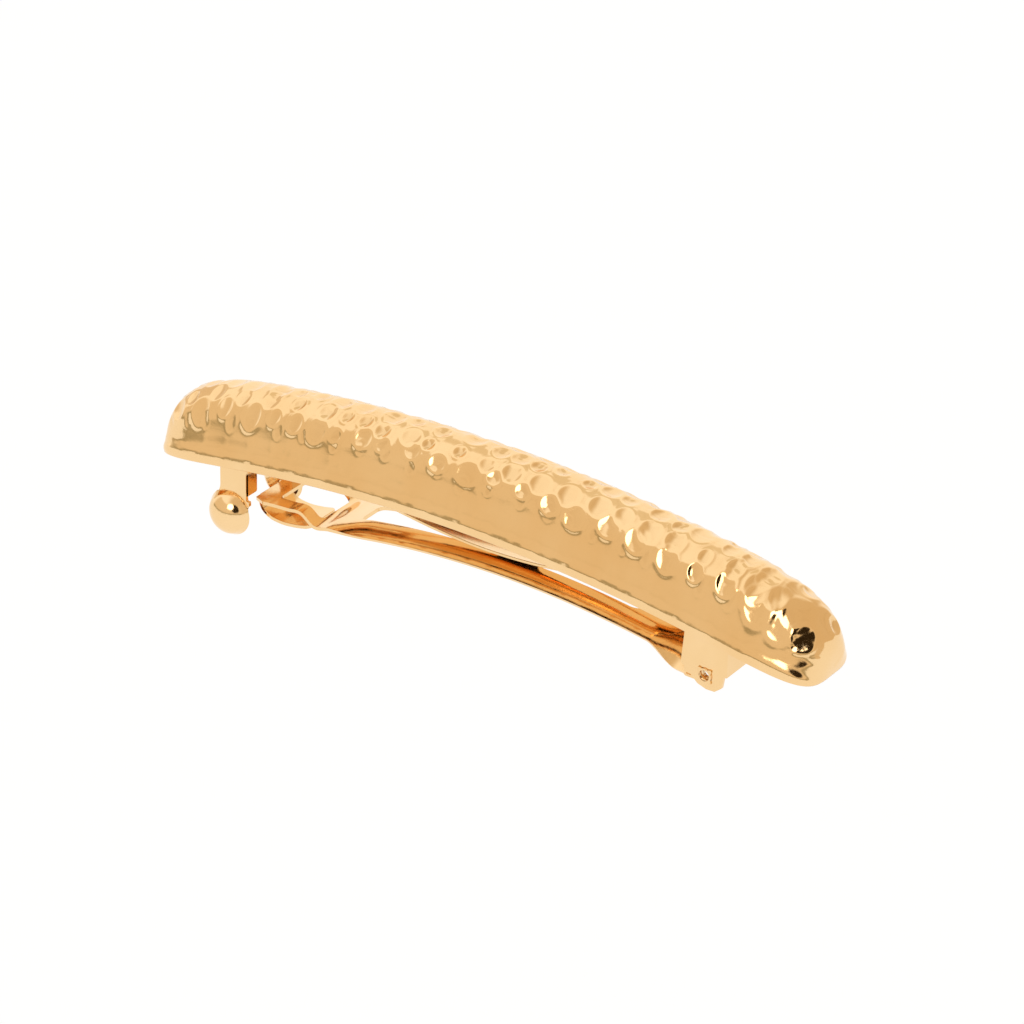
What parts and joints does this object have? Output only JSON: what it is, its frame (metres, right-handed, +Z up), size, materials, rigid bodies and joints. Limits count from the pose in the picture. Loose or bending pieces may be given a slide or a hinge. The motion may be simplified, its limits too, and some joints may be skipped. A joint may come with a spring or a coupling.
{
  "type": "french barrette",
  "caption": "Arched hammered hair barrette: hollow domed cover over a spring clip with a hinged slotted arm and a squeeze catch.",
  "frame": {"origin": "under the middle of the cover, level with the bottom of the thumb grips", "axes": "+X along the barrette from catch to hinge, +Y across it, +Z up through the cover's crown"},
  "size_m": [0.0848, 0.0132, 0.0189],
  "materials": {
    "hammered_gold": "polished gold plating over hammered metal",
    "sheet_gold": "polished gold plating over stamped sheet",
    "spring_gold": "polished gold plating over spring strip",
    "rivet_gold": "polished gold plating over turned metal"
  },
  "bodies": {
    "cover_and_base": {"ornamental_shell": "hammered_gold", "base_plate": "sheet_gold", "left_mounting_post": "rivet_gold", "right_mounting_post": "rivet_gold", "near_hinge_eyelet": "rivet_gold", "far_hinge_eyelet": "rivet_gold"},
    "arm": {"closing_arm": "sheet_gold"},
    "spring_bar": {"tension_bar": "spring_gold"},
    "near_finger": {"near_catch_finger": "sheet_gold"},
    "far_finger": {"far_catch_finger": "sheet_gold"}
  },
  "joints": [
    {"name": "arm_hinge", "type": "hinge", "parent": "cover_and_base", "child": "arm", "pos_m": [0.02995, 0, 0.00435], "axis": [0, -1, 0], "range_deg": [0, 95]},
    {"name": "near_finger_squeeze", "type": "hinge", "parent": "cover_and_base", "child": "near_finger", "pos_m": [-0.031, -0.00465, 0.0088], "axis": [1, 0, 0], "range_deg": [0, 5], "stiffness_Nm_per_rad": 0.1},
    {"name": "far_finger_squeeze", "type": "hinge", "parent": "cover_and_base", "child": "far_finger", "pos_m": [-0.031, 0.00465, 0.0088], "axis": [-1, 0, 0], "range_deg": [0, 5], "stiffness_Nm_per_rad": 0.1},
    {"name": "tension_bar_flex", "type": "slide", "parent": "cover_and_base", "child": "spring_bar", "axis": [0, 0, 1], "range_m": [0, 0.0002], "stiffness_N_per_m": 300}
  ]
}
